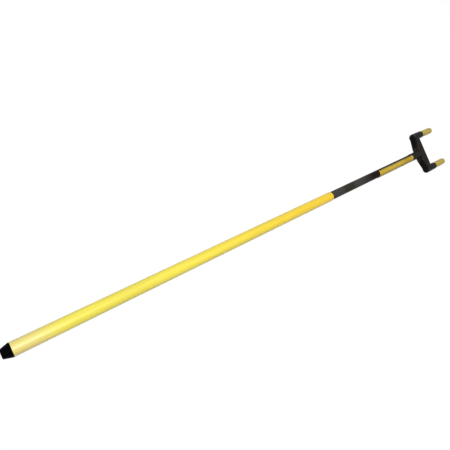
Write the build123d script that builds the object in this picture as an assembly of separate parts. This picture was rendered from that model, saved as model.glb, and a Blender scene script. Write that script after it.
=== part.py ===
from build123d import *
import os
from math import cos, radians, tan

# A forked hot stick, in millimetres. +X runs along the stick from its butt to its fork, +Z is up,
# and the fork lies flat in the XY plane. The origin is the middle of the butt cap's end face.

# Fits, as gaps on the radius or between two faces
run_gap = 0.075
bond_gap = 0.05
seat_gap = 0.3
key_gap = 0.15

# Two lengths that differ by less than this are the same
same = 0.01

# Handle
handle_od = 31.75
handle_wall = 1.5
handle_length = 1024.0
mouth_bevel = 1.0
cap_length = 20.0
cap_land = 2.5
cap_end_od = 20.5
cap_corner = 2.0
cap_spigot = 38.0
seal_thickness = 3.0

# Front tube and its split sleeve
front_wall = 3.0
front_shown = 291.0
front_lap = 150.0
slide_travel = 289.0
sleeve_length = 254.0
sleeve_wall = 1.5
sleeve_slit = 108.0
sleeve_corner = 5.0

# Twist lock: lengths
lock_plug = 40.0
flange_thickness = 4.0
neck_length = 12.0
collet_length = 34.0
collet_ring = 9.0
collet_slots = 3
slot_width = 3.0
cone_half_angle = 8.0
cone_length = 10.0
thread_lead = 4.0
unlock_turn = 270.0
washer_thickness = 1.6
nut_height = 8.0
stud_tail = 2.0
end_room = 10.0

# Twist lock: radii, as shares of the front tube's radius
neck_share = 0.56
stud_share = 0.35
cone_small_share = 0.6
cone_key_share = 0.91
washer_share = 0.77
nut_share = 0.56

# Yoke
shoulder_length = 64.0
yoke_spigot = 50.0
bar_height = 30.0
bar_depth_middle = 45.0
bar_depth_end = 30.0
bar_edge = 7.0
arm_spacing = 150.0
arm_od = 29.0
arm_reach = 39.0
arm_rear_bevel = 3.0
web_reach = 14.0
web_width = 26.0

# Prongs
rod_od = 19.0
rod_floor = 6.0
rod_reach = 64.0
tip_od = 26.5
tip_length = 92.0
tip_nose = 10.0
tip_end_od = 15.0

# Cross pins
pin_od = 6.0
prong_pin_od = 5.0
pin_sink = 0.4

# Radii and stations along the stick, worked out from the sizes above
handle_r = handle_od / 2
bore_r = handle_r - handle_wall
front_r = bore_r - run_gap
front_bore_r = front_r - front_wall
sleeve_bore_r = front_r + bond_gap
sleeve_r = sleeve_bore_r + sleeve_wall
neck_r = neck_share * front_r
stud_r = stud_share * front_r
cone_small_r = cone_small_share * front_r
cone_key_r = cone_key_share * front_r
washer_r = washer_share * front_r
nut_r = nut_share * front_r
arm_y = arm_spacing / 2
arm_r = arm_od / 2
cone_travel = thread_lead * unlock_turn / 360.0

handle_rear_x = cap_length
mouth_x = handle_rear_x + handle_length
front_rear_x = mouth_x - front_lap
sleeve_x = mouth_x + front_shown
shoulder_x = sleeve_x + sleeve_length
bar_rear_x = shoulder_x + shoulder_length
bar_front_x = bar_rear_x + bar_depth_middle
arm_rear_x = bar_front_x - bar_depth_end
arm_mouth_x = bar_front_x + arm_reach

flange_rear_x = front_rear_x - flange_thickness
collet_front_x = flange_rear_x - seat_gap
collet_rear_x = collet_front_x - collet_length
cone_front_x = collet_rear_x + cone_length
washer_front_x = collet_rear_x - cone_travel - seat_gap
nut_front_x = washer_front_x - washer_thickness
stud_end_x = nut_front_x - nut_height - stud_tail
foam_rear_x = handle_rear_x + cap_spigot + seal_thickness
foam_front_x = stud_end_x - slide_travel - end_room - seal_thickness


def rod(radius, x_rear, x_front, y=0.0):
    """A plain round bar along X between two stations."""
    middle = Pos((x_rear + x_front) / 2, y, 0)
    return middle * Rot(0, 90, 0) * Cylinder(radius, x_front - x_rear)


def pipe(outer_r, inner_r, x_rear, x_front):
    """A plain tube along X between two stations."""
    return rod(outer_r, x_rear, x_front) - rod(inner_r, x_rear, x_front)


def cross_bar(radius, half_length, x, y=0.0):
    """A round bar that crosses the stick along Z."""
    return Pos(x, y, 0) * Cylinder(radius, 2 * half_length)


def turned(edges):
    """A solid turned about the X axis from a closed outline in the XY plane."""
    return revolve(make_face(edges), Axis.X, 360)


def butt_cap():
    """A rubber plug: a tapered end with rounded corners and a spigot that fills the bore."""
    end_r = cap_end_od / 2
    spigot_r = bore_r - bond_gap
    land_x = cap_length - cap_land
    spigot_x = cap_length + cap_spigot
    outline = make_face(
        Polyline(
            (0, 0),
            (0, end_r),
            (land_x, handle_r),
            (cap_length, handle_r),
            (cap_length, spigot_r),
            (spigot_x, spigot_r),
            (spigot_x, 0),
            close=True,
        )
    )
    end_corner = outline.vertices().group_by(Axis.X)[0].sort_by(Axis.Y)[-1]
    return revolve(chamfer(end_corner, cap_corner), Axis.X, 360)


def handle_tube():
    """The yellow tube, its mouth bevelled outside where the front tube enters."""
    tube = pipe(handle_r, bore_r, handle_rear_x, mouth_x)
    rim = tube.edges().filter_by(GeomType.CIRCLE).group_by(Axis.X)[-1].sort_by(SortBy.RADIUS)[-1]
    return chamfer(rim, mouth_bevel)


def handle_foam():
    """The closed-cell core behind the front tube's travel."""
    return rod(bore_r - bond_gap, foam_rear_x, foam_front_x)


def foam_seals():
    """The two discs that close the foam's ends."""
    seal_r = bore_r - bond_gap
    rear = rod(seal_r, foam_rear_x - seal_thickness, foam_rear_x)
    front = rod(seal_r, foam_front_x, foam_front_x + seal_thickness)
    return Compound([rear, front])


def front_tube():
    """The black tube, drilled for its two cross pins."""
    tube = pipe(front_r, front_bore_r, front_rear_x, shoulder_x)
    for pin_x in (spindle_pin_x, yoke_pin_x):
        tube -= cross_bar(pin_od / 2 + bond_gap, handle_od, pin_x)
    return tube


def front_foam():
    """The foam core between the lock's plug and the yoke's spigot."""
    return rod(front_bore_r - bond_gap, front_rear_x + lock_plug, shoulder_x - yoke_spigot)


def lock_spindle():
    """A turned plug with a flange, a smooth neck and a stud that runs out behind."""
    body = rod(front_bore_r - bond_gap, front_rear_x, front_rear_x + lock_plug)
    body += rod(front_r - run_gap, flange_rear_x, front_rear_x)
    body += rod(neck_r, flange_rear_x - neck_length, flange_rear_x)
    body += rod(stud_r, stud_end_x, flange_rear_x)
    return body - cross_bar(pin_od / 2 + bond_gap, handle_od, spindle_pin_x)


def cross_pin(x):
    """A plain pin through the front tube, just under its surface at both ends."""
    return cross_bar(pin_od / 2, front_r - pin_sink, x)


def cone_radius(x):
    """The lock cone's radius at a station: it grows towards the butt."""
    return cone_small_r + (cone_front_x - x) * tan(radians(cone_half_angle))


def slots(width, outer_r, x_rear, x_front):
    """Radial walls, evenly spaced about the stick: the collet's slots or the cone's keys."""
    wall = Pos((x_rear + x_front) / 2, outer_r / 2, 0) * Box(x_front - x_rear, outer_r, width)
    turns = [Rot(360.0 * (i + 0.5) / collet_slots, 0, 0) for i in range(collet_slots)]
    return [turn * wall for turn in turns]


def lock_collet():
    """A sleeve split from its rear end, with a taper inside that the cone spreads."""
    ring_r = neck_r + run_gap
    taper_gap = run_gap / cos(radians(cone_half_angle))
    small_r = cone_radius(cone_front_x) + taper_gap
    outline = Polyline(
        (collet_rear_x, cone_radius(collet_rear_x) + taper_gap),
        (cone_front_x, small_r),
        (cone_front_x, ring_r),
        (collet_front_x, ring_r),
        (collet_front_x, front_r),
        (collet_rear_x, front_r),
        close=True,
    )
    collet = turned(outline)
    for slot in slots(slot_width, handle_r, collet_rear_x, collet_front_x - collet_ring):
        collet -= slot
    return collet


def lock_cone():
    """The cone nut, with a key in each slot of the collet."""
    outline = Polyline(
        (collet_rear_x, 0),
        (collet_rear_x, cone_radius(collet_rear_x)),
        (cone_front_x, cone_radius(cone_front_x)),
        (cone_front_x, 0),
        close=True,
    )
    cone = turned(outline)
    for key in slots(slot_width - 2 * key_gap, cone_key_r, collet_rear_x, cone_front_x):
        cone += key
    return cone - rod(stud_r + bond_gap, collet_rear_x, cone_front_x)


def lock_washer():
    """The stop washer behind the cone's travel."""
    return pipe(washer_r, stud_r + bond_gap, nut_front_x, washer_front_x)


def lock_nut():
    """The hexagon nut that ends the stud."""
    hexagon = RegularPolygon(nut_r, 6, major_radius=False)
    blank = extrude(Plane.YZ.offset(nut_front_x - nut_height) * hexagon, nut_height)
    return blank - rod(stud_r + bond_gap, nut_front_x - nut_height, nut_front_x)


def grip_sleeve():
    """The split sleeve: a tube wall that leaves the +Y side open, with rounded corners."""
    sleeve = pipe(sleeve_r, sleeve_bore_r, sleeve_x, shoulder_x)
    wedge_y = handle_od
    wedge_z = wedge_y * tan(radians(sleeve_slit / 2))
    wedge = make_face(Polyline((0, 0), (wedge_y, wedge_z), (wedge_y, -wedge_z), close=True))
    sleeve -= extrude(Plane.YZ.offset(sleeve_x) * wedge, sleeve_length)
    corners = sleeve.edges().filter_by(lambda e: abs(e.length - sleeve_wall) < same)
    return fillet(corners, sleeve_corner)


def fork_yoke():
    """The yoke: spigot, shoulder, a crossbar with a web at its middle, and two round arms."""
    outline = make_face(
        Polyline(
            (bar_rear_x - web_reach, -handle_r / 2),
            (bar_rear_x - web_reach, handle_r / 2),
            (bar_rear_x, web_width),
            (arm_rear_x, arm_y),
            (bar_front_x, arm_y),
            (bar_front_x, -arm_y),
            (arm_rear_x, -arm_y),
            (bar_rear_x, -web_width),
            close=True,
        )
    )
    bar = extrude(outline, bar_height / 2, both=True)
    rims = bar.edges().group_by(Axis.Z)[0] + bar.edges().group_by(Axis.Z)[-1]
    bar = fillet(rims, bar_edge)
    yoke = bar + rod(handle_r, shoulder_x, bar_front_x - bar_edge)
    for y in (-arm_y, arm_y):
        arm = rod(arm_r, arm_rear_x, arm_mouth_x, y)
        rear = arm.edges().filter_by(GeomType.CIRCLE).group_by(Axis.X)[0]
        yoke += chamfer(rear, arm_rear_bevel)
    yoke += rod(front_bore_r - bond_gap, shoulder_x - yoke_spigot, shoulder_x)
    yoke -= cross_bar(pin_od / 2 + bond_gap, handle_od, yoke_pin_x)
    for y in (-arm_y, arm_y):
        yoke -= rod(rod_od / 2 + bond_gap, arm_rear_x + rod_floor, arm_mouth_x, y)
        yoke -= cross_bar(prong_pin_od / 2 + bond_gap, handle_od, prong_pin_x, y)
    return yoke


def prong_rod(y):
    """The rod that carries a tip, drilled for its pin."""
    body = rod(rod_od / 2, arm_rear_x + rod_floor, arm_mouth_x + rod_reach, y)
    return body - cross_bar(prong_pin_od / 2 + bond_gap, handle_od, prong_pin_x, y)


def prong_tip(y):
    """A blunt-nosed tip: a straight foot and a cone around a blind bore for the rod."""
    tip_r = tip_od / 2
    hole_r = rod_od / 2 + bond_gap
    hole_x = arm_mouth_x + rod_reach + seat_gap
    tip_x = arm_mouth_x + tip_length
    outline = make_face(
        Polyline(
            (tip_x, 0),
            (hole_x, 0),
            (hole_x, hole_r),
            (arm_mouth_x, hole_r),
            (arm_mouth_x, tip_r),
            (tip_x - tip_nose, tip_r),
            (tip_x, tip_end_od / 2),
            close=True,
        )
    )
    return Pos(0, y, 0) * revolve(outline, Axis.X, 360)


def prong_pins():
    """The two pins that hold the rods in the arms."""
    half_length = arm_r - pin_sink
    pins = [cross_bar(prong_pin_od / 2, half_length, prong_pin_x, y) for y in (-arm_y, arm_y)]
    return Compound(pins)


spindle_pin_x = front_rear_x + lock_plug / 2
yoke_pin_x = shoulder_x - yoke_spigot / 2
prong_pin_x = bar_front_x + arm_reach / 2

pieces = {
    "butt_cap": butt_cap(),
    "handle_tube": handle_tube(),
    "handle_foam": handle_foam(),
    "foam_seals": foam_seals(),
    "front_tube": front_tube(),
    "front_foam": front_foam(),
    "lock_spindle": lock_spindle(),
    "spindle_pin": cross_pin(spindle_pin_x),
    "lock_collet": lock_collet(),
    "lock_cone": lock_cone(),
    "lock_washer": lock_washer(),
    "lock_nut": lock_nut(),
    "grip_sleeve": grip_sleeve(),
    "fork_yoke": fork_yoke(),
    "yoke_pin": cross_pin(yoke_pin_x),
    "prong_rod_left": prong_rod(arm_y),
    "prong_rod_right": prong_rod(-arm_y),
    "prong_tip_left": prong_tip(arm_y),
    "prong_tip_right": prong_tip(-arm_y),
    "prong_pins": prong_pins(),
}

os.makedirs("parts", exist_ok=True)
for name, shape in pieces.items():
    export_step(shape, "parts/" + name + ".step")
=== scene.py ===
# %% [markdown]
# A hot stick with a forked head. Line workers hold the yellow glass-fibre handle and reach a live wire
# with the black fork. This lesson dresses the CAD model of that stick: the CAD gives the sizes and the
# joints, and each cell below adds one surface or one finish.
#
# The frame comes first, because every new surface is measured from it. Lengths are worked out in
# millimetres, as on a workshop drawing, and become metres only when Blender is given them.

import bpy
import numpy as np
from mathutils import Matrix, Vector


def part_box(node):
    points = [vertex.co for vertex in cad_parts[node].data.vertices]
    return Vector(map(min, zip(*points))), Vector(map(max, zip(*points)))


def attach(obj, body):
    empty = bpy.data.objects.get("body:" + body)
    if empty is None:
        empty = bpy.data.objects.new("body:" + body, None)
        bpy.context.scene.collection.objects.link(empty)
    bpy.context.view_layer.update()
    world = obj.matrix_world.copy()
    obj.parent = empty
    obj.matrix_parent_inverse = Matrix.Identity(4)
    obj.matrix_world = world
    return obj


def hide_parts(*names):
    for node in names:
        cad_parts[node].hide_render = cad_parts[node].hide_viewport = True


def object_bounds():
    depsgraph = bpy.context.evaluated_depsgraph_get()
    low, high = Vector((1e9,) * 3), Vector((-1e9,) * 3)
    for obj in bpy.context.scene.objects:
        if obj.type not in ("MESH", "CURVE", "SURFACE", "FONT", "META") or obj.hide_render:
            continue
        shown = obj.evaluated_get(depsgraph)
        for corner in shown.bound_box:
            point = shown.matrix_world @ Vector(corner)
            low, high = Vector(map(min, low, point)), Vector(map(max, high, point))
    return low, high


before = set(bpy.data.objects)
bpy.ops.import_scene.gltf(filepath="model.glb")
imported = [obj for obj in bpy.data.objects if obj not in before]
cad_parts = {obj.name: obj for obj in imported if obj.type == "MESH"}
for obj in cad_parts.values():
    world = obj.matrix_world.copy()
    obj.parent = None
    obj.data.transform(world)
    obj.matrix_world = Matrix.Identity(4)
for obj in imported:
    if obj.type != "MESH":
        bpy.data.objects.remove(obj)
cad_low, cad_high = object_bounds()
MM = 0.001


def box_mm(node):
    """The lowest and highest corner of a CAD node, in millimetres."""
    low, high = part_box(node)
    return np.array(low) / MM, np.array(high) / MM


stick_length = (cad_high.x - cad_low.x) / MM
print("The stick is", round(stick_length), "mm long and has", len(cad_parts), "CAD nodes")

# %% [markdown]
# The photograph was taken from above the butt with a short, wide lens: the yellow tube looks about 1.8
# times as thick at its butt as at its mouth, although it is one straight tube. The camera's place and
# turn below were worked out from that. A long lens further away would be easier to aim, but it would
# lose the strong perspective, so the short lens stays.


# %% Camera
def placement(right, up, back, place):
    """The matrix of an object whose own X, Y and Z axes point to the right, up and back."""
    turn = np.eye(4)
    turn[:3] = np.column_stack([right, up, back, place])
    return Matrix(turn.tolist())


image_width_px = 450
focal_px = 383.0
camera_place = np.array([13.476, 63.300, 902.294])
camera_right = np.array([0.767251, -0.398166, 0.502782])
camera_up = np.array([0.337158, 0.917287, 0.211917])
camera_back = np.cross(camera_right, camera_up)

camera_data = bpy.data.cameras.new("camera")
camera_data.sensor_width = 36.0
camera_data.lens = camera_data.sensor_width * focal_px / image_width_px
camera_data.clip_start = 0.01
camera_data.clip_end = 50.0
camera = bpy.data.objects.new("camera", camera_data)
camera.matrix_world = placement(camera_right, camera_up, camera_back, camera_place * MM)
bpy.context.scene.collection.objects.link(camera)
bpy.context.scene.camera = camera
print("Lens", round(camera_data.lens, 2), "mm, camera", round(camera_place[2]), "mm above the stick")

# %% [markdown]
# Every surface here starts as a grid of points, rows by columns. Where points of the grid meet, as at
# the pole of a dome, they are welded, so no seam stays open. Blender can merge points by distance too,
# but in numpy the faces that shrink away are dropped in the same step. The volume that the faces
# enclose will say which way they point.


# %% Weld points and measure a volume
def weld(points, quads):
    """Points in one place become one point. A quad that loses a corner becomes a triangle, or goes."""
    points, index = np.unique(np.round(points, 5), axis=0, return_inverse=True)
    quads = index.reshape(-1)[quads]
    same = quads == np.roll(quads, -1, axis=1)
    whole = quads[~same.any(axis=1)]
    triangles = []
    for corner in range(4):
        rows = quads[same[:, corner] & (same.sum(axis=1) == 1)]
        triangles.append(np.delete(rows, corner, axis=1))
    return points, whole, np.concatenate(triangles)


def volume(points, faces):
    """Six times the signed volume that the faces enclose: positive where they point outwards."""
    a = points[faces[:, 0]]
    total = 0.0
    for k in range(1, faces.shape[1] - 1):
        b, c = points[faces[:, k]], points[faces[:, k + 1]]
        total += np.einsum("ij,ij->", a, np.cross(b, c))
    return total


# %% [markdown]
# Neighbours in the grid are joined into quads, and the faces are turned outwards if need be. Blender's
# own cylinders and spheres would be quicker to call, but a grid says exactly where each point lies.
# Smooth shading hides the facets, and stops at the sharp edges.


# %% From a grid of points to a closed mesh
def surface_mesh(name, grid, close_rows=True, close_columns=True):
    """Joins each point of a grid to its neighbours along the rows and the columns."""
    rows, columns = grid.shape[:2]
    i = np.arange(rows if close_rows else rows - 1)[:, None]
    j = np.arange(columns if close_columns else columns - 1)[None, :]
    next_i, next_j = (i + 1) % rows, (j + 1) % columns
    corners = [i * columns + j, next_i * columns + j, next_i * columns + next_j, i * columns + next_j]
    quads = np.stack(corners, axis=-1).reshape(-1, 4)
    points, quads, triangles = weld(grid.reshape(-1, 3), quads)
    if volume(points, quads) + volume(points, triangles) < 0:
        quads, triangles = quads[:, ::-1], triangles[:, ::-1]
    mesh = bpy.data.meshes.new(name)
    mesh.from_pydata((points * MM).tolist(), [], quads.tolist() + triangles.tolist())
    mesh.validate()
    return mesh


def show(name, mesh, sharp_degrees=38.0):
    """An object for a finished mesh, smooth except across its sharp edges."""
    mesh.shade_smooth()
    mesh.set_sharp_from_angle(angle=np.radians(sharp_degrees))
    piece = bpy.data.objects.new(name, mesh)
    bpy.context.scene.collection.objects.link(piece)
    print(name, "is made, faces:", len(mesh.polygons))
    return piece


# %% [markdown]
# Most of the stick is turned work: an outline carried round the X axis. Real edges are never knife
# sharp, so the outline's corners are rounded with small arcs, and a guard point sits just beyond each
# arc. Without the guard points, smooth shading would smear an edge's highlight along the whole tube.


# %% Outlines with rounded corners
def arc(corner, before, after, radius, steps):
    """The points of a round that joins the two sides at a corner, tangent to both.

    Its centre lies on the line that halves the corner, radius / sin(half the corner) away."""
    u = (before - corner) / np.linalg.norm(before - corner)
    v = (after - corner) / np.linalg.norm(after - corner)
    half = np.arccos(np.clip(u @ v, -1, 1)) / 2
    centre = corner + (u + v) / np.linalg.norm(u + v) * radius / np.sin(half)
    start = corner + u * radius / np.tan(half) - centre
    end = corner + v * radius / np.tan(half) - centre
    a0, a1 = np.arctan2(start[1], start[0]), np.arctan2(end[1], end[0])
    sweep = (a1 - a0 + np.pi) % (2 * np.pi) - np.pi
    a = a0 + sweep * np.linspace(0, 1, steps + 1)
    return centre + radius * np.stack([np.cos(a), np.sin(a)], axis=1)


def rounded(corners, steps=8, guard=0.25):
    """A closed outline of (x, r, rounding) corners, with a guard point before and after each."""
    places = np.array(corners, float)[:, :2]
    runs = []
    for k, (_, _, radius) in enumerate(corners):
        before, here, after = places[k - 1], places[k], places[(k + 1) % len(places)]
        run = arc(here, before, after, radius, steps) if radius > 0 else here[None, :]
        to_before = (before - run[0]) / np.linalg.norm(before - run[0])
        to_after = (after - run[-1]) / np.linalg.norm(after - run[-1])
        runs.append(np.vstack([run[0] + guard * to_before, run, run[-1] + guard * to_after]))
    return np.vstack(runs)


# %% [markdown]
# The handle is a drawn glass-fibre tube: one even wall, a saw-cut rear end hidden by the cap, and a
# mouth that is rounded so that it doesn't cut a glove. Its outline runs out along the outside, round
# the mouth and back along the bore. The Screw modifier could turn the outline as well, but a grid
# leaves no modifier on the piece.

# %% Handle tube
low, high = box_mm("handle_tube")
handle_rear, mouth, handle_r = low[0], high[0], high[2]
handle_wall, mouth_round = 1.5, 1.0
bore_r = handle_r - handle_wall


def turned(name, outline, y=0.0, steps=128):
    """Each (x, r) of the outline at angle a becomes (x, y + r cos a, r sin a)."""
    a = np.linspace(0, 2 * np.pi, steps, endpoint=False)
    x, r = outline[:, :1], np.maximum(outline[:, 1:], 0.0)
    grid = np.stack([x + 0 * a, y + r * np.cos(a), r * np.sin(a)], axis=-1)
    return surface_mesh(name, grid)


handle_outline = rounded(
    [
        (handle_rear, handle_r, 0.35), (mouth, handle_r, mouth_round),
        (mouth, bore_r, 0.35), (handle_rear, bore_r, 0.1),
    ]
)
handle_tube = show("handle_shell", turned("handle_shell", handle_outline))

# %% [markdown]
# The butt cap is a moulded rubber plug. Rubber leaves the mould with soft corners, so its tapered end
# has a generous round and its land, which lines up with the tube, a small one. Its spigot fills the
# end of the tube. One bevel for the whole cap would make all these edges alike, and in an outline each
# corner has its own round.

# %% Butt cap
low, high = box_mm("butt_cap")
bond_gap = 0.05
cap_end, cap_end_r, cap_end_round, cap_land = low[0], 10.25, 2.6, 2.5
cap_spigot_end, cap_spigot_r, cap_spigot_round = high[0], bore_r - bond_gap, 0.8
cap_outline = rounded(
    [
        (cap_end, 0, 0), (cap_end, cap_end_r, cap_end_round),
        (handle_rear - cap_land, handle_r, 1.2), (handle_rear, handle_r, 0.4),
        (handle_rear, cap_spigot_r, 0.1), (cap_spigot_end, cap_spigot_r, cap_spigot_round),
        (cap_spigot_end, 0, 0),
    ]
)
butt_cap = show("cap_rubber", turned("cap_rubber", cap_outline))

# %% [markdown]
# Pins cross the stick, so holes have to be drilled, and Blender drills with its Boolean modifier. Two
# helpers prepare that. One makes several meshes into one, so that one cut does for all the holes of a
# piece. The other reads the result of a modifier back as a plain mesh.


# %% Join meshes and use a modifier
def joined(name, meshes):
    """Several meshes as one: each mesh's faces count on from the points of those before it."""
    offsets = np.cumsum([0] + [len(mesh.vertices) for mesh in meshes])
    points, faces = [], []
    for mesh, offset in zip(meshes, offsets):
        flat = np.empty(len(mesh.vertices) * 3)
        mesh.vertices.foreach_get("co", flat)
        points.append(flat.reshape(-1, 3))
        faces += [[v + int(offset) for v in face.vertices] for face in mesh.polygons]
    whole = bpy.data.meshes.new(name)
    whole.from_pydata(np.vstack(points).tolist(), [], faces)
    return whole


def with_modifier(name, mesh, kind, **settings):
    """A new mesh: what a mesh becomes under one modifier."""
    carrier = bpy.data.objects.new(name, mesh)
    bpy.context.scene.collection.objects.link(carrier)
    modifier = carrier.modifiers.new(kind, kind)
    for key, value in settings.items():
        setattr(modifier, key, value)
    seen = carrier.evaluated_get(bpy.context.evaluated_depsgraph_get())
    made = bpy.data.meshes.new_from_object(seen)
    bpy.data.objects.remove(carrier)
    return made


# %% [markdown]
# A closed bar stands for the drill, and its room is taken out of the piece. The box of a pin's CAD mesh
# comes out a little small, because a box round facets does, so the pins' diameters are named here.

# %% Drill holes for the pins
pin_od, prong_pin_od = 6.0, 5.0


def pin_hole(od, x, y=0.0, steps=40):
    """A closed bar along Z, each point at (x + r cos a, y + r sin a, z), through the whole stick.

    Its radius is half the pin's diameter and the gap of a bonded fit."""
    radius, reach = od / 2 + bond_gap, handle_r
    a = np.linspace(0, 2 * np.pi, steps, endpoint=False)
    r = np.array([0, radius, radius, 0])[:, None]
    z = np.array([-reach, -reach, reach, reach])[:, None]
    grid = np.stack([x + r * np.cos(a), y + r * np.sin(a), z + 0 * a], axis=-1)
    return surface_mesh("pin_hole", grid)


def cut(name, mesh, cutters):
    """A mesh with the room of the cutters taken out of it."""
    cutter = bpy.data.objects.new("cutters", joined("cutters", cutters))
    bpy.context.scene.collection.objects.link(cutter)
    made = with_modifier(
        name, mesh, "BOOLEAN", object=cutter, operation="DIFFERENCE", solver="EXACT", use_self=True
    )
    bpy.data.objects.remove(cutter)
    made.name = name
    return made


# %% [markdown]
# The front tube is the same kind of tube in black, thicker in the wall. Its two ends are hidden, one in
# the handle and one under the yoke's shoulder, and only need their edges broken. Two pins cross it, one
# through the lock's plug and one through the yoke's spigot. A ring of points stands on each side of a
# hole, so that the cut changes only the short strip between them and the shine beyond stays even.

# %% Front tube
low, high = box_mm("front_tube")
front_rear, shoulder, front_r = low[0], high[0], high[2]
front_wall, lock_plug, yoke_spigot = 3.0, 40.0, 50.0
front_bore_r = front_r - front_wall
spindle_pin_x, yoke_pin_x = front_rear + lock_plug / 2, shoulder - yoke_spigot / 2
ring_distance = 6.1
rings = [x + side * ring_distance for x in (spindle_pin_x, yoke_pin_x) for side in (-1, 1)]
outside = [(x, front_r, 0) for x in rings]
inside = [(x, front_bore_r, 0) for x in reversed(rings)]
front_outline = rounded(
    [
        (front_rear, front_r, 0.4), *outside, (shoulder, front_r, 0.3),
        (shoulder, front_bore_r, 0.3), *inside, (front_rear, front_bore_r, 0.4),
    ]
)
front_holes = [pin_hole(pin_od, x) for x in (spindle_pin_x, yoke_pin_x)]
front_mesh = cut("front_shell", turned("front_shell", front_outline), front_holes)
front_tube = show("front_shell", front_mesh)

# %% [markdown]
# The tips are pushed over glass-fibre rods, so each has a blind bore. The nose is a dome. A half sphere
# would look like a ball on a stick, so its outline is a quarter of a superellipse, which is fuller than
# a circle, as soft moulded caps are.

# %% Prong tips
low, high = box_mm("prong_tip_left")
tip_foot, tip_end = low[0], high[0]
tip_y, tip_r = (low[1] + high[1]) / 2, (high[2] - low[2]) / 2
rod_od, rod_reach, seat_gap = 19.0, 64.0, 0.3
rod_bore_r, tip_bore_end = rod_od / 2 + bond_gap, tip_foot + rod_reach + seat_gap
nose, fullness, foot_round, nose_guard = 15.0, 2.3, 1.0, 0.4


def tip_outline():
    """Bore, foot, wall and a nose whose x and r follow sin t and cos t raised to 2 / fullness."""
    t = np.linspace(0, np.pi / 2, 28)
    nose_x = tip_end - nose + nose * np.sin(t) ** (2 / fullness)
    nose_r = tip_r * np.cos(t) ** (2 / fullness)
    corner, axis, front = np.array([[tip_foot, tip_r], [tip_foot, 0.0], [tip_end, tip_r]])
    foot = arc(corner, axis, front, foot_round, steps=6)
    bore = [(tip_bore_end, 0.0), (tip_bore_end, rod_bore_r), (tip_foot, rod_bore_r)]
    wall = [(tip_end - nose - nose_guard, tip_r)]
    return np.vstack([bore, foot, wall, np.stack([nose_x, nose_r], axis=1)])


prong_tips = {}
for side, y in (("left", tip_y), ("right", -tip_y)):
    name = "tip_" + side
    prong_tips[side] = show(name, turned(name, tip_outline(), y=y, steps=72))

# %% [markdown]
# The sleeve is a plastic tube split along its +Y side and sprung over the black tube. A slot cut in a
# tube would have knife edges, so the sleeve is a sheet bent round the stick: one parameter runs along
# it and the other goes round its thin C-shaped section. Towards an end the C gets narrower in a quarter
# circle, which rounds the corners of the split, and its wall closes in a half circle, which rounds the
# rim.

# %% Grip sleeve
low, high = box_mm("grip_sleeve")
sleeve_rear, sleeve_front, sleeve_r = low[0], high[0], high[2]
sleeve_wall, sleeve_corner = 1.5, 5.0
split_degrees = 108.0


def stations(length, fine, coarse, count):
    """Distances along a length: closest together at both ends, then up to coarse, then the middle."""
    ease = (1 - np.cos(np.linspace(0, np.pi / 2, count))) * fine
    first = np.concatenate([ease, np.linspace(fine, coarse, count)[1:]])
    return np.concatenate([first, [length / 2], length - first[::-1]])


def grip_sleeve_grid(count=16, around=96, edge=8):
    """Rows are stations along the stick. Columns go over the outside, an edge, the inside, an edge.

    A point at angle a and radius r is (x, r cos a, r sin a). The edges are half circles."""
    half_wall = sleeve_wall / 2
    middle_r = sleeve_r - half_wall
    length = sleeve_front - sleeve_rear
    s = stations(length, half_wall, sleeve_corner, count)
    from_end = np.minimum(s, length - s)
    thick = half_wall * np.sqrt(np.clip(1 - (1 - np.minimum(from_end / half_wall, 1)) ** 2, 0, 1))
    gone = np.clip(sleeve_corner - from_end, 0, sleeve_corner)
    inset = sleeve_corner - np.sqrt(sleeve_corner**2 - gone**2)
    reach = np.pi - np.radians(split_degrees / 2) - inset / middle_r - half_wall / middle_r
    sweep, flat = np.linspace(-1, 1, around), np.ones(around)
    edge_turn = np.linspace(0, np.pi, edge + 2)[1:-1]
    w = np.concatenate([sweep, np.ones(edge), -sweep, -np.ones(edge)])
    lift = np.concatenate([flat, np.cos(edge_turn), -flat, -np.cos(edge_turn)])
    bulge = np.concatenate([0 * flat, np.sin(edge_turn), 0 * flat, -np.sin(edge_turn)])
    angle = np.pi + reach[:, None] * w + thick[:, None] * bulge / middle_r
    radius = middle_r + thick[:, None] * lift
    x = sleeve_rear + s[:, None] + 0 * angle
    return np.stack([x, radius * np.cos(angle), radius * np.sin(angle)], axis=-1)


sleeve_mesh = surface_mesh("sleeve_shell", grip_sleeve_grid(), close_rows=False)
grip_sleeve = show("sleeve_shell", sleeve_mesh, sharp_degrees=60.0)

# %% [markdown]
# The yoke is one moulding, with soft hollows where its arms and its neck run into the crossbar. Bevels
# on a Boolean's edges easily tear in such hollows. The shape is easier to say as a distance: a function
# that gives, for any point in space, how far it is from the surface. Simple forms have simple distances,
# and a smooth minimum of two of them fills the corner between the forms as a moulder's fillet does.


# %% Simple distances
def length_of(*parts):
    """The length of a vector with these parts: the root of the sum of their squares."""
    return np.sqrt(sum(part**2 for part in parts))


def rounded_pair(a, b, radius):
    """The distance to where two forms overlap, the edge between them rounded by a radius."""
    a, b = a + radius, b + radius
    return np.minimum(np.maximum(a, b), 0) + length_of(np.maximum(a, 0), np.maximum(b, 0)) - radius


def smooth_union(a, b, width):
    """The nearer of two forms, with the corner between them filled over a width.

    With h = 1 - |a - b| / width, but not below 0, it is min(a, b) - h squared times width / 4."""
    h = np.clip(width - np.abs(a - b), 0, None) / width
    return np.minimum(a, b) - h * h * width / 4


def bar_along_x(p, y, radius, x_rear, x_front, edge):
    """A round bar along X with rounded ends."""
    side = length_of(p[:, 1] - y, p[:, 2]) - radius
    ends = np.abs(p[:, 0] - (x_rear + x_front) / 2) - (x_front - x_rear) / 2
    return rounded_pair(side, ends, edge)


# %% [markdown]
# The yoke's own forms are a neck as thick as the handle, a crossbar, two arms, and a spigot that goes
# into the front tube. The fillets are widest half way up and fade towards the flat top and bottom, as a
# mould's do.

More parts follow.
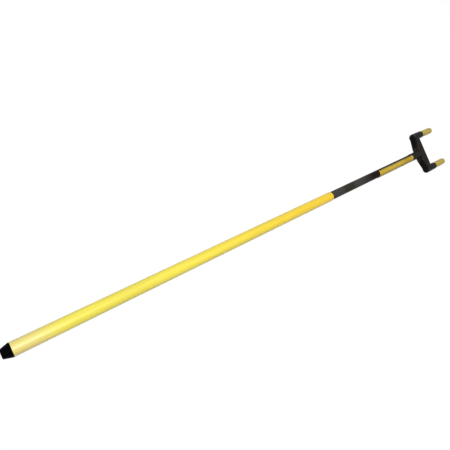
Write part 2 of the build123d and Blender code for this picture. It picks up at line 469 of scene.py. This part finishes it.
# %% The yoke as a distance
low, high = box_mm("fork_yoke")
arm_mouth, arm_r, arm_reach = high[0], 14.5, 39.0
arm_y = high[1] - arm_r
bar_depth_middle, bar_depth_end, bar_half_height = 45.0, 30.0, 15.0
bar_front = arm_mouth - arm_reach
bar_rear, arm_rear = bar_front - bar_depth_middle, bar_front - bar_depth_end
bar_edge, web_width = 7.0, 26.0
yoke_spigot_end, yoke_spigot_r = low[0], front_bore_r - bond_gap
neck_round, arm_round, yoke_spigot_round = 1.6, 1.4, 1.0
web_fillet, arm_fillet, least_fillet = 26.0, 8.0, 1.0
overlap = 2.0


def crossbar_distance(p):
    """A slab, flat in front, whose back slopes forward towards both ends, with round rims."""
    x, y, z = p[:, 0], np.abs(p[:, 1]), np.abs(p[:, 2])
    run = np.array([arm_rear - bar_rear, arm_y - web_width])
    normal = np.array([-run[1], run[0]]) / np.linalg.norm(run)
    slope = (x - bar_rear) * normal[0] + (y - web_width) * normal[1]
    plan = np.maximum.reduce([x - bar_front, bar_rear - x, slope, y - arm_y])
    return rounded_pair(plan, z - bar_half_height, bar_edge)


def yoke_distance(p):
    """The neck, the crossbar and the arms run smoothly together, and the spigot stays square."""
    level = np.clip(1 - (p[:, 2] / bar_half_height) ** 2, 0, 1)
    neck = bar_along_x(p, 0.0, handle_r, shoulder, bar_front - bar_edge, neck_round)
    body = smooth_union(crossbar_distance(p), neck, least_fillet + web_fillet * level)
    for y in (-arm_y, arm_y):
        arm = bar_along_x(p, y, arm_r, arm_rear, arm_mouth, arm_round)
        body = smooth_union(body, arm, least_fillet + arm_fillet * level)
    spigot = bar_along_x(p, 0.0, yoke_spigot_r, yoke_spigot_end, shoulder + overlap, yoke_spigot_round)
    return np.minimum(body, spigot)


bar_middle = np.array([[(bar_rear + bar_front) / 2, 0.0, 0.0]])
print("The bar's middle lies", round(-float(yoke_distance(bar_middle)[0]), 1), "mm under its surface")

# %% [markdown]
# A distance has no mesh, so a rough one comes first: plain closed blocks that overlap, made into one
# skin of small even quads by the Remesh modifier. Metaballs would also melt the blocks together, but
# they wouldn't keep the sizes.


# %% Blocks and skin
def block(x0, x1, y0, y1, z):
    """A box as a grid of four rings, its ends drawn together to a point."""
    ring = np.array([[y0, -z], [y1, -z], [y1, z], [y0, z]])
    middle = np.array([[(y0 + y1) / 2, 0.0]] * 4)
    rings = [(x0, middle), (x0, ring), (x1, ring), (x1, middle)]
    return np.stack([np.column_stack([np.full(4, x), yz]) for x, yz in rings])


def round_bar(name, radius, x0, x1, y=0.0):
    """A closed bar along X: a rectangle, from the axis out to the radius, turned."""
    outline = np.array([(x0, 0), (x0, radius), (x1, radius), (x1, 0)], float)
    return turned(name, outline, y=y, steps=64)


yoke_blocks = joined(
    "yoke_blocks",
    [
        surface_mesh("bar", block(bar_rear, bar_front, -arm_y, arm_y, bar_half_height)),
        round_bar("neck", handle_r, shoulder, bar_front - overlap),
        round_bar("spigot", yoke_spigot_r, yoke_spigot_end, shoulder + overlap),
        round_bar("arm", arm_r, arm_rear, arm_mouth, arm_y),
        round_bar("arm", arm_r, arm_rear, arm_mouth, -arm_y),
    ],
)
voxel = 1.3
skin = with_modifier("yoke_skin", yoke_blocks, "REMESH", mode="VOXEL", voxel_size=voxel * MM)
print("The skin has", len(skin.vertices), "points")

# %% [markdown]
# Each point then moves along the distance's slope until it lies on the surface. The slope is measured
# by a small step along each axis. A point moves by its distance divided by the slope's steepness, but
# only four fifths of the way at a time, because the distance isn't exact where forms run together.

# %% Settle the skin on the surface
step, share, least_steepness, rounds = 0.05, 0.8, 0.2, 12
points = np.empty(len(skin.vertices) * 3)
skin.vertices.foreach_get("co", points)
points = points.reshape(-1, 3) / MM
for _ in range(rounds):
    distance = yoke_distance(points)
    rises = [yoke_distance(points + step * axis) - distance for axis in np.eye(3)]
    slope = np.stack(rises, axis=1) / step
    steepness = np.maximum((slope**2).sum(axis=1), least_steepness)
    points -= share * (distance / steepness)[:, None] * slope
skin.vertices.foreach_set("co", (points * MM).reshape(-1))
worst = float(np.abs(yoke_distance(points)).max())
print("The skin's points lie within", round(worst, 3), "mm of the surface")

# %% [markdown]
# Rods sit in the arms, and pins hold them and the spigot. Their bores could be part of the distance, but
# the skin's quads would blunt their mouths, and a drilled hole has a crisp one. So they are cut last.

# %% Cut the yoke's bores
rod_floor, bore_run_out = 6.0, 5.0
prong_pin_x = bar_front + arm_reach / 2
bores = [pin_hole(pin_od, yoke_pin_x)]
for y in (-arm_y, arm_y):
    bores.append(round_bar("rod_bore", rod_bore_r, arm_rear + rod_floor, arm_mouth + bore_run_out, y))
    bores.append(pin_hole(prong_pin_od, prong_pin_x, y))
fork_yoke = show("yoke_moulding", cut("yoke_moulding", skin, bores), sharp_degrees=40.0)

# %% [markdown]
# Every new piece now rides on the CAD body that carries it and stands for its CAD node, which is hidden.
# Parenting by hand would do for one picture, but this way the joints move the pieces too.

# %% Ride and replace
dressed = {
    "handle_tube": (handle_tube, "handle", "handle_yellow"),
    "butt_cap": (butt_cap, "handle", "cap_black"),
    "front_tube": (front_tube, "front", "front_black"),
    "grip_sleeve": (grip_sleeve, "front", "sleeve_yellow"),
    "fork_yoke": (fork_yoke, "front", "yoke_black"),
    "prong_tip_left": (prong_tips["left"], "front", "tip_yellow"),
    "prong_tip_right": (prong_tips["right"], "front", "tip_yellow"),
}
for node, (piece, body, slot) in dressed.items():
    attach(piece, body)
    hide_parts(node)
print(len(dressed), "new surfaces stand for CAD nodes")

# %% [markdown]
# Finishes are small networks of nodes. A picture wrapped round the stick would be quicker, but it shows
# its pixels close to, and a network doesn't. Colours are written as the eye sees them, from 0 to 255,
# and turned into the linear values that Blender works with.


# %% Colours and nodes
def linear(red, green, blue):
    """A colour as the screen shows it, in Blender's linear values."""
    c = np.array([red, green, blue]) / 255.0
    c = np.where(c <= 0.04045, c / 12.92, ((c + 0.055) / 1.055) ** 2.4)
    return (float(c[0]), float(c[1]), float(c[2]), 1.0)


def add(tree, kind, links=None, **settings):
    """A new node. links gives its inputs, each a number, a colour or another node's output."""
    made = tree.nodes.new("ShaderNode" + kind)
    for key, value in settings.items():
        setattr(made, key, value)
    for key, value in (links or {}).items():
        if isinstance(value, bpy.types.NodeSocket):
            tree.links.new(value, made.inputs[key])
        else:
            made.inputs[key].default_value = value
    return made


print("Mid grey, 128 of 255, is", round(linear(128, 128, 128)[0], 3), "in linear values")

# %% [markdown]
# Three kinds of node do most of the work: one calculates, one turns a range of values into another
# range, and one mixes two colours. A stain is a mix too, with a limit to how much it covers.


# %% Numbers and mixes
def math(tree, operation, *values):
    """A sum, product or other operation on numbers."""
    return add(tree, "Math", dict(enumerate(values)), operation=operation).outputs[0]


def ramp(tree, value, start_at, end_at, low=0.0, high=1.0, interpolation="SMOOTHSTEP"):
    """A number that goes from low to high as a value goes from start_at to end_at, and no further."""
    links = {"Value": value, "From Min": start_at, "From Max": end_at, "To Min": low, "To Max": high}
    return add(tree, "MapRange", links, interpolation_type=interpolation).outputs["Result"]


def between(tree, amount, low, high):
    """A number that goes evenly from low to high as amount goes from 0 to 1."""
    return ramp(tree, amount, 0.0, 1.0, low, high, "LINEAR")


def blend(tree, amount, first, second, how="MIX"):
    """A mix of two colours. The node's sockets 0, 6 and 7 are its amount and its two colours."""
    links = {0: amount, 6: first, 7: second}
    return add(tree, "Mix", links, data_type="RGBA", blend_type=how).outputs[2]


def stained(tree, colour, where, share, stain):
    """A colour under up to a share of another, as much as a value from 0 to 1 says."""
    return blend(tree, math(tree, "MULTIPLY", where, share), colour, stain)


# %% [markdown]
# Patterns read Object coordinates, which are metres along and across the stick, so a pattern keeps its
# scale and stays where it is when the stick slides or turns. Noise stretched along X makes fibres and
# scratches, and a height of a few hundredths of a millimetre under it makes their relief.


# %% Patterns on the stick
def coordinate(tree, axis):
    """A point's X, Y or Z on the stick at rest, in metres."""
    place = add(tree, "TexCoord").outputs["Object"]
    return add(tree, "SeparateXYZ", {"Vector": place}).outputs[axis]


def radius_of(tree):
    """How far a point lies from the stick's axis, in metres: the root of y squared plus z squared."""
    y, z = coordinate(tree, "Y"), coordinate(tree, "Z")
    squares = [math(tree, "MULTIPLY", part, part) for part in (y, z)]
    return math(tree, "SQRT", math(tree, "ADD", *squares))


def spread(tree, scale, stretch=(1, 1, 1), detail=3.0, low=0.35, high=0.65):
    """Noise on Object coordinates, stretched along the axes, from 0 to 1 between two levels."""
    place = add(tree, "TexCoord").outputs["Object"]
    place = add(tree, "Mapping", {"Vector": place, "Scale": stretch}).outputs["Vector"]
    noise = add(tree, "TexNoise", {"Vector": place, "Scale": scale, "Detail": detail}).outputs["Fac"]
    return ramp(tree, noise, low, high)


def bump(tree, height, depth):
    """Relief from a height between 0 and 1, its depth in millimetres."""
    links = {"Height": height, "Strength": 1.0, "Distance": depth * MM}
    return add(tree, "Bump", links).outputs["Normal"]


# %% [markdown]
# Each finish starts with a material whose shader has plain values for gloss, coat and metal, and ends
# when its colour, roughness and relief are linked.


# %% Start and finish a material
roughness_range = 0.12


def start(name, gloss=0.5, coat=0.0, coat_roughness=0.1, metallic=0.0):
    """A material and its node tree, with uniform values on the shader's own sockets."""
    material = bpy.data.materials.new(name)
    material.use_nodes = True
    tree = material.node_tree
    shader = tree.nodes["Principled BSDF"]
    shader.inputs["Specular IOR Level"].default_value = gloss
    shader.inputs["Coat Weight"].default_value = coat
    shader.inputs["Coat Roughness"].default_value = coat_roughness
    shader.inputs["Metallic"].default_value = metallic
    return material, tree


def finish(material, colour, roughness, relief=None):
    """Links a colour, a roughness and, where there is one, a relief to the material's shader."""
    tree = material.node_tree
    shader = tree.nodes["Principled BSDF"]
    tree.links.new(colour, shader.inputs["Base Color"])
    tree.links.new(roughness, shader.inputs["Roughness"])
    if relief is not None:
        tree.links.new(relief, shader.inputs["Normal"])
    print(material.name, "takes", len(tree.nodes), "nodes")


# %% [markdown]
# The handle's yellow is in the resin, under a clear gel coat. Close to, glass strands show through it
# as faint streaks along the tube, and the coat has the slight ripple of a drawn surface. Gloves leave
# duller patches. The yellow is painted lighter towards the butt, as the lamps' light falls off along
# the tube, and paler still over its last ten centimetres, a painted highlight.
# The bore and the saw-cut ends have no pigment and show pale glass: they lie deeper than the pigment.

# %% Handle finish
pigment_from, pigment_full = handle_r - 0.7, handle_r - 0.45
falloff_start, falloff_end = 300.0, 1020.0
highlight_until, highlight_gone_from = 40.0, 140.0
light_yellow, deep_yellow = linear(251, 238, 90), linear(246, 208, 26)
highlight_yellow, glove_mark = linear(248, 230, 138), linear(206, 178, 60)
pale_glass, strand_tint = linear(206, 196, 150), (0.9, 0.88, 0.82, 1)
handle_yellow, tree = start("handle_yellow", gloss=0.1, coat=1.0, coat_roughness=0.38)
strands = spread(tree, scale=420.0, stretch=(0.02, 1, 1), detail=4.0, low=0.3, high=0.7)
patches = spread(tree, scale=9.0, stretch=(0.6, 1, 1), detail=5.0, low=0.42, high=0.75)
along = coordinate(tree, "X")
# Painted light: the yellow deepens along the tube as the lamps' light falls off.
painted_falloff = ramp(tree, along, falloff_start * MM, falloff_end * MM, interpolation="LINEAR")
# Painted highlight: a paler yellow over the butt's last ten centimetres.
butt_highlight = ramp(tree, along, highlight_until * MM, highlight_gone_from * MM, low=1.0, high=0.0)
pigment = ramp(tree, radius_of(tree), pigment_from * MM, pigment_full * MM, interpolation="LINEAR")
colour = blend(tree, painted_falloff, light_yellow, deep_yellow)
colour = blend(tree, butt_highlight, colour, highlight_yellow)
colour = blend(tree, strands, colour, blend(tree, 1.0, colour, strand_tint, "MULTIPLY"))
colour = stained(tree, colour, patches, share=0.2, stain=glove_mark)
colour = blend(tree, pigment, pale_glass, colour)
ripple = spread(tree, scale=700.0, stretch=(0.05, 1, 1), low=0.2, high=0.8)
finish(handle_yellow, colour, between(tree, patches, 0.42, 0.55), bump(tree, ripple, depth=0.04))

# %% [markdown]
# The black front tube is the same glass without yellow. It slides in the handle, so it has lost its
# shine, and fine scratches run lengthwise. Dust greys it, except in a greasy band where a glove rests,
# and it is darker towards the sleeve.

# %% Front tube finish
greasy_middle, greasy_half, greasy_edge = mouth + 99.0, 18.0, 22.0
darker_from, darker_full = sleeve_rear - 118.0, sleeve_rear - 42.0
front_black, tree = start("front_black", gloss=0.03)
strands = spread(tree, scale=420.0, stretch=(0.02, 1, 1), detail=4.0, low=0.3, high=0.7)
scratches = spread(tree, scale=1500.0, stretch=(0.012, 1, 1), detail=2.0, low=0.62, high=0.72)
along = coordinate(tree, "X")
away = math(tree, "ABSOLUTE", math(tree, "SUBTRACT", along, greasy_middle * MM))
dust = ramp(tree, away, greasy_half * MM, (greasy_half + greasy_edge) * MM)
# The tube turns near black over the last stretch before the sleeve.
fresh = ramp(tree, along, darker_from * MM, darker_full * MM, interpolation="LINEAR")
greasy = blend(tree, strands, linear(44, 39, 34), linear(54, 49, 43))
dusty = blend(tree, strands, linear(60, 56, 53), linear(70, 66, 64))
colour = blend(tree, dust, greasy, dusty)
colour = stained(tree, colour, scratches, share=0.3, stain=linear(92, 88, 84))
colour = blend(tree, fresh, colour, linear(22, 12, 15))
drawn = spread(tree, scale=900.0, stretch=(0.04, 1, 1), low=0.2, high=0.8)
finish(front_black, colour, between(tree, strands, 0.38, 0.55), bump(tree, drawn, depth=0.03))

# %% [markdown]
# The sleeve and the tips are softer plastics that have dulled and picked up dirt, so they are browner
# than the handle, rougher, and mottled. On the sleeve, shade is painted in the dirt's colour beside the
# split, on its +Y side, and more thinly along the other side.

# %% Sleeve and tip finish
split_side, far_side = (1.0, 9.0), (-3.0, -10.0)


def dull_plastic(name, fresh, worn, dirt_and_shade, roughness, split_shade=0.0, far_side_shade=0.0):
    """Mottled from fresh to worn, with dirt in broad patches and, if asked, painted shade along both sides.
    """
    material, tree = start(name, gloss=0.25)
    mottle = spread(tree, scale=60.0, detail=5.0, low=0.35, high=0.68)
    grime = spread(tree, scale=24.0, stretch=(0.5, 1, 1), detail=6.0, low=0.5, high=0.72)
    colour = blend(tree, mottle, linear(*fresh), linear(*worn))
    colour = stained(tree, colour, grime, share=0.45, stain=linear(*dirt_and_shade))
    # Painted shade: darker towards the split and along the far side.
    for share, (unshaded_y, shaded_y) in ((split_shade, split_side), (far_side_shade, far_side)):
        if share:
            beside = ramp(tree, coordinate(tree, "Y"), unshaded_y * MM, shaded_y * MM)
            colour = stained(tree, colour, beside, share, stain=linear(*dirt_and_shade))
    pores = spread(tree, scale=1400.0, detail=2.0, low=0.3, high=0.7)
    dullness = between(tree, grime, roughness - roughness_range / 2, roughness + roughness_range)
    finish(material, colour, dullness, bump(tree, pores, depth=0.06))
    return material


sleeve_yellow = dull_plastic(
    "sleeve_yellow", (208, 176, 46), (190, 160, 40), (132, 110, 36), roughness=0.5,
    split_shade=0.75, far_side_shade=0.5,
)
tip_yellow = dull_plastic("tip_yellow", (192, 170, 72), (178, 158, 66), (128, 112, 52), roughness=0.52)

# %% [markdown]
# The yoke is black moulded nylon with a fine spark-eroded grain. Its edges are a little greyer: rubbed
# wear, and a painted highlight along the rims. Pointiness says how far a point stands out from its
# surroundings, so it finds edges without a texture, and noise breaks the lighter line up. The cap is
# rubber: blacker, rougher, with dust in its pores. The pins' CAD mesh is coarse and pointiness would
# draw its facets, so their edge colour is their light one.

# %% Yoke, cap and pin finish
level_pointiness, edge_pointiness = 0.502, 0.53


def moulded_black(name, dark, light, worn, gloss, roughness, grain, depth):
    """Clouded from dark to light, with lighter edges (on the yoke wear and a painted highlight), with a
    grain of a given scale and depth.
    """
    material, tree = start(name, gloss=gloss)
    cloud = spread(tree, scale=40.0, detail=5.0, low=0.35, high=0.7)
    pointiness = add(tree, "NewGeometry").outputs["Pointiness"]
    # Lighter edges: on the yoke rubbed wear and a painted highlight on the rims, on the cap dust.
    edge_wear_and_highlight = ramp(tree, pointiness, level_pointiness, edge_pointiness)
    patchy = between(tree, spread(tree, scale=55.0, detail=4.0, low=0.3, high=0.6), 0.45, 1.0)
    colour = blend(tree, cloud, linear(*dark), linear(*light))
    colour = stained(tree, colour, edge_wear_and_highlight, share=patchy, stain=linear(*worn))
    texture = spread(tree, scale=grain, detail=2.0, low=0.3, high=0.7)
    dullness = between(tree, cloud, roughness, roughness + roughness_range)
    finish(material, colour, dullness, bump(tree, texture, depth))
    return material


# The nylon's edge colour stands for rubbed wear and a painted highlight on the rims.
nylon_dark, nylon_light, nylon_wear_and_highlight = (20, 18, 16), (32, 29, 26), (84, 78, 74)
rubber_dark, rubber_light, rubber_dust = (1, 1, 3), (4, 4, 5), (34, 34, 36)
yoke_black = moulded_black(
    "yoke_black", nylon_dark, nylon_light, nylon_wear_and_highlight, gloss=0.04, roughness=0.45, grain=900.0, depth=0.10
)
cap_black = moulded_black(
    "cap_black", rubber_dark, rubber_light, rubber_dust, gloss=0.02, roughness=0.5, grain=1300.0, depth=0.08
)
pin_black = moulded_black(
    "pin_black", nylon_dark, nylon_light, nylon_light, gloss=0.04, roughness=0.5, grain=900.0, depth=0.05
)

# %% [markdown]
# The pieces inside the stick keep their CAD shapes. They show only when a reader hides the tubes, yet
# each has its own finish: foam, seals, glass rod, nylon, aluminium, brass and steel. The turned
# aluminium is streaked round the axis, and the drawn rod along it.


# %% Finishes of the inner pieces
def speckled(name, first, second, scale, roughness, depth=0.0, metallic=0.0, stretch=(1, 1, 1)):
    """Two close colours in one grain, which also gives the roughness and, with a depth, the relief."""
    material, tree = start(name, metallic=metallic)
    grain = spread(tree, scale=scale, stretch=stretch, detail=4.0)
    colour = blend(tree, grain, linear(*first), linear(*second))
    dullness = between(tree, grain, roughness, roughness + roughness_range)
    finish(material, colour, dullness, bump(tree, grain, depth) if depth else None)
    return material


finishes = {
    "handle_yellow": handle_yellow,
    "front_black": front_black,
    "sleeve_yellow": sleeve_yellow,
    "tip_yellow": tip_yellow,
    "yoke_black": yoke_black,
    "cap_black": cap_black,
    "pin_black": pin_black,
}
inner_finishes = {
    "foam_white": ((222, 212, 184), (238, 230, 206), 900.0, 0.85, {"depth": 0.3}),
    "seal_grey": ((120, 120, 118), (140, 140, 138), 500.0, 0.6, {"depth": 0.1}),
    "rod_glass": ((190, 180, 138), (206, 196, 156), 600.0, 0.3, {"stretch": (0.03, 1, 1)}),
    "lock_nylon": ((226, 222, 210), (236, 232, 222), 300.0, 0.4, {"depth": 0.05}),
    "lock_aluminium": (
        (186, 188, 190), (204, 206, 208), 900.0, 0.3, {"metallic": 1.0, "stretch": (4, 0.5, 0.5)}
    ),
    "lock_brass": ((196, 160, 84), (212, 178, 104), 700.0, 0.28, {"metallic": 1.0}),
    "steel": ((96, 96, 98), (122, 122, 124), 900.0, 0.35, {"metallic": 1.0}),
}
for name, (first, second, scale, roughness, more) in inner_finishes.items():
    finishes[name] = speckled(name, first, second, scale, roughness, **more)

# %% [markdown]
# Each piece now gets its finish. A new surface has one material, and a CAD node that keeps its shape
# gets the finish in the slots that it already has.

# %% Give out the finishes
inner = {
    "handle_foam": "foam_white", "front_foam": "foam_white", "foam_seals": "seal_grey",
    "lock_spindle": "lock_aluminium", "lock_collet": "lock_nylon", "lock_cone": "lock_brass",
    "lock_washer": "steel", "lock_nut": "steel", "spindle_pin": "steel",
    "yoke_pin": "rod_glass", "prong_rod_left": "rod_glass", "prong_rod_right": "rod_glass",
    "prong_pins": "pin_black",
}
for piece, _, slot in dressed.values():
    piece.data.materials.clear()
    piece.data.materials.append(finishes[slot])
for node, slot in inner.items():
    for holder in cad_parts[node].material_slots:
        holder.material = finishes[slot]
print("CAD nodes that keep their shape:", len(inner))

# %% [markdown]
# The stick lies on a white sweep. A floor that is only lit never comes out quite white, so for the
# camera this one glows just under white, and a tenth of the lamps' light on top of that brings it to
# white and leaves the stick a faint shadow. The light that the floor throws back onto the stick is
# that of a plain grey, so that it doesn't wash out the dark pieces.

# %% Floor
floor_glow, floor_lit, floor_plain = 0.94, 0.1, 0.2
floor_half, floor_gap = 12000.0, 0.325


def seen_by_camera(tree):
    """1 for what the camera sees, itself or in a reflection or through glass, and 0 for soft light."""
    path = add(tree, "LightPath").outputs
    indirect = math(tree, "MAXIMUM", path["Is Glossy Ray"], path["Is Transmission Ray"])
    return math(tree, "MAXIMUM", path["Is Camera Ray"], indirect)


def grey(level):
    """An even grey in linear values."""
    return (level, level, level, 1.0)


floor_material = bpy.data.materials.new("floor_white")
floor_material.use_nodes = True
tree = floor_material.node_tree
tree.nodes.clear()
lit = add(tree, "BsdfDiffuse", {"Color": grey(floor_lit)}).outputs[0]
glow = add(tree, "Emission", {"Color": grey(1.0), "Strength": floor_glow}).outputs[0]
bright = add(tree, "AddShader", {0: lit, 1: glow}).outputs[0]
plain = add(tree, "BsdfDiffuse", {"Color": grey(floor_plain)}).outputs[0]
choice = add(tree, "MixShader", {0: seen_by_camera(tree), 1: plain, 2: bright}).outputs[0]
add(tree, "OutputMaterial", {"Surface": choice})

floor_z = cad_low.z / MM - floor_gap
floor_grid = [[(x, y, floor_z) for x in (-floor_half, floor_half)] for y in (-floor_half, floor_half)]
floor = show("floor", surface_mesh("floor", np.array(floor_grid), close_rows=False, close_columns=False))
floor.data.materials.append(floor_material)
print("The floor lies", floor_gap, "mm under the stick")

# %% [markdown]
# The light is soft and comes from above: a dim even world and two rectangular lamps, one over the butt
# and one over the fork. The world is white wherever it is seen. The lamp over the fork is hidden from
# reflections, because its image would lie on the black yoke as a grey film.

# %% World and lamps
world_light, world_seen = 0.2, 1.0


def softbox(name, place, aim, width, length, watts):
    """A rectangular lamp at a place, turned towards a point, in metres."""
    data = bpy.data.lights.new(name, "AREA")
    data.shape = "RECTANGLE"
    data.size, data.size_y, data.energy = width, length, watts
    back = np.array(place) - np.array(aim)
    back /= np.linalg.norm(back)
    side = np.cross([0.0, 1.0, 0.0], back)
    side /= np.linalg.norm(side)
    lamp = bpy.data.objects.new(name, data)
    lamp.matrix_world = placement(side, np.cross(back, side), back, place)
    bpy.context.scene.collection.objects.link(lamp)
    print(name, "gives", watts, "watts from", place[2], "m above the stick")
    return lamp


world = bpy.data.worlds.new("studio")
bpy.context.scene.world = world
world.use_nodes = True
tree = world.node_tree
sky = tree.nodes["Background"]
tree.links.new(between(tree, seen_by_camera(tree), world_light, world_seen), sky.inputs["Strength"])
sky.inputs["Color"].default_value = grey(1.0)
softbox("over_butt", (-0.05, 0.22, 1.6), aim=(0.1, 0.0, 0.0), width=0.45, length=0.75, watts=16.5)
over_fork = softbox("over_fork", (1.4, 0.5, 1.7), aim=(1.5, 0.0, 0.0), width=0.8, length=0.8, watts=20.0)
over_fork.visible_glossy = False
bpy.context.scene.view_settings.view_transform = "Standard"

# %% [markdown]
# Last, the box of the CAD model is written out.

# %% Write the CAD box
print("CAD box", [round(v, 4) for v in (*cad_low, *cad_high)])
